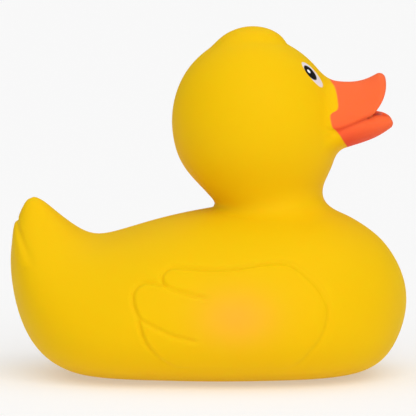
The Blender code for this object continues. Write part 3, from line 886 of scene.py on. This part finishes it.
def eye_print(x, side, z):
    """The white, the pupil and the glint of both eyes."""
    out = Vector(EYE_OUT).normalized()
    up = (Vector(EYE_UP) - out * out.dot(Vector(EYE_UP))).normalized()
    offset = [place - centre for place, centre in zip((x, side, z), EYE_CENTRE)]

    def towards(direction):
        return offset[0] * direction.x + offset[1] * direction.y + offset[2] * direction.z

    eye_x, eye_y = towards(up.cross(out)), towards(up)
    front = towards(out).step(*EYE_DEPTH)
    shapes = (((0.0, 0.0), EYE_WHITE_HALF), (PUPIL_SHIFT, PUPIL_HALF), (GLINT_SHIFT, GLINT_HALF))
    return [oval(shift, half, eye_x, eye_y) * front for shift, half in shapes]


def wing_blush(x, side, z):
    """A soft orange spot on each wing."""
    across = (x - BLUSH_CENTRE[0]) / BLUSH_RADII[0]
    rise = (z - BLUSH_CENTRE[1]) / BLUSH_RADII[1]
    return (-(across * across + rise * rise)).exp() * side.step(*BLUSH_SIDE) * BLUSH_STRENGTH


def vinyl_material():
    """Satin yellow vinyl with its painted bill, printed eyes and wing blush; the bill also carries
    painted shade and a painted sheen.
    """
    material = bpy.data.materials.new("painted_vinyl")
    material.use_nodes = True
    tree = material.node_tree
    paint = Value(tree)
    place = paint.node("ShaderNodeTexCoord", {}, {})["Object"]
    axes = paint.node("ShaderNodeSeparateXYZ", {}, {0: place})
    x, y, z = (Value(tree, axis) / MM for axis in axes)
    side = abs(y)
    orange, mouth_shade, inside_sheen = bill_paint(x, side, z)
    white, pupil, glint = eye_print(x, side, z)
    cloud = paint.value("ShaderNodeTexNoise", {},
                        {"Vector": place, "Scale": CLOUD_SCALE, "Detail": CLOUD_DETAIL}, "Fac")

    colour = mix_colour(cloud.step(*CLOUD_RANGE) * CLOUD_STRENGTH, YELLOW, YELLOW_DEEP)
    colour = mix_colour(wing_blush(x, side, z), colour, BLUSH)
    # the lower bill darkens downwards: partly painted shade where it faces down
    bill = mix_colour(1.0 - z.step(*CHIN_SHADE_Z), ORANGE, CHIN_SHADE_RED)
    # painted shade in the crease between the halves of the bill
    bill = mix_colour(mouth_shade * MOUTH_SHADE_STRENGTH, bill, MOUTH_SHADE_RED)
    # painted sheen on the inside of the mouth
    bill = mix_colour(inside_sheen * SHEEN_STRENGTH, bill, MOUTH_INSIDE_SHEEN)
    for field, above in ((orange, bill), (white, EYE_WHITE), (pupil, PUPIL), (glint, GLINT)):
        colour = mix_colour(field, colour, above)

    roughness = ROUGHNESS + cloud * CLOUD_ROUGHNESS - pupil * PUPIL_GLOSS
    grain = paint.node("ShaderNodeTexNoise", {},
                       {"Vector": place, "Scale": GRAIN_SCALE, "Detail": GRAIN_DETAIL})["Fac"]
    bump = paint.node("ShaderNodeBump", {},
                      {"Strength": GRAIN_STRENGTH, "Distance": GRAIN_HEIGHT, "Height": grain})["Normal"]
    sockets = tree.nodes["Principled BSDF"].inputs
    tree.links.new(colour, sockets["Base Color"])
    tree.links.new(roughness.socket, sockets["Roughness"])
    tree.links.new(bump, sockets["Normal"])
    sockets["Subsurface Weight"].default_value = GLOW_THROUGH
    sockets["Subsurface Radius"].default_value = GLOW_COLOUR
    sockets["Subsurface Scale"].default_value = GLOW_DEPTH
    sockets["Specular IOR Level"].default_value = SHINE
    return material


# ---------------------------------------------------------------- stage

WHITE = (1.0, 1.0, 1.0, 1.0)
WORLD_STRENGTH = 0.26
FLOOR_SIZE = 8.0
FLOOR_DROP = 0.0002             # keeps the floor just clear of the duck's base
FLOOR_GREY = (0.65, 0.65, 0.65, 1.0)
FLOOR_GLOW = 0.34
FLOOR_ROUGHNESS = 0.9
FLOOR_SHINE = 0.1
LAMPS = [                       # soft light: direction, spread in degrees, strength
    ("key", (0.25, -1.0, 0.72), 60.0, 1.45),
    ("top", (0.0, -0.1, 1.0), 120.0, 1.3),
]
CAMERA_ELEVATION = 5.5
CAMERA_DISTANCE = 1.5
CAMERA_AIM = (0.0, 0.0, 0.0499)
CAMERA_FIELD = 0.1248           # width of the view at the duck
CAMERA_SENSOR = 36.0
CAMERA_FAR = 20.0


def lay_floor():
    bpy.ops.mesh.primitive_plane_add(size=FLOOR_SIZE, location=(0.0, 0.0, -FLOOR_DROP))
    floor = bpy.context.active_object
    floor.name = "floor"
    paper = bpy.data.materials.new("paper")
    paper.use_nodes = True
    sockets = paper.node_tree.nodes["Principled BSDF"].inputs
    sockets["Base Color"].default_value = FLOOR_GREY
    sockets["Emission Color"].default_value = WHITE
    sockets["Emission Strength"].default_value = FLOOR_GLOW
    sockets["Roughness"].default_value = FLOOR_ROUGHNESS
    sockets["Specular IOR Level"].default_value = FLOOR_SHINE
    floor.data.materials.append(paper)


def light_studio(scene):
    world = bpy.data.worlds.new("studio")
    world.use_nodes = True
    background = world.node_tree.nodes["Background"].inputs
    background["Color"].default_value = WHITE
    background["Strength"].default_value = WORLD_STRENGTH
    scene.world = world
    for name, towards, spread, power in LAMPS:
        lamp = bpy.data.lights.new(name, "SUN")
        lamp.energy = power
        lamp.angle = math.radians(spread)
        holder = bpy.data.objects.new(name, lamp)
        holder.location = towards
        holder.rotation_euler = Vector(towards).to_track_quat("Z", "Y").to_euler()
        scene.collection.objects.link(holder)


def place_camera(scene):
    camera = bpy.data.cameras.new("camera")
    camera.sensor_width = CAMERA_SENSOR
    camera.lens = CAMERA_SENSOR * CAMERA_DISTANCE / CAMERA_FIELD
    camera.clip_end = CAMERA_FAR
    angle = math.radians(CAMERA_ELEVATION)
    back = Vector((0.0, -math.cos(angle), math.sin(angle)))
    holder = bpy.data.objects.new("camera", camera)
    holder.location = Vector(CAMERA_AIM) + CAMERA_DISTANCE * back
    holder.rotation_euler = back.to_track_quat("Z", "Y").to_euler()
    scene.collection.objects.link(holder)
    scene.camera = holder


# ---------------------------------------------------------------- the finished duck

studio = bpy.context.scene
studio.view_settings.view_transform = "Standard"
lay_floor()
light_studio(studio)
place_camera(studio)

skin = make_skin(Duck())
skin.data.materials.clear()
skin.data.materials.append(vinyl_material())
skin.data.shade_smooth()
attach(skin, "root")
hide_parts("duck_body")
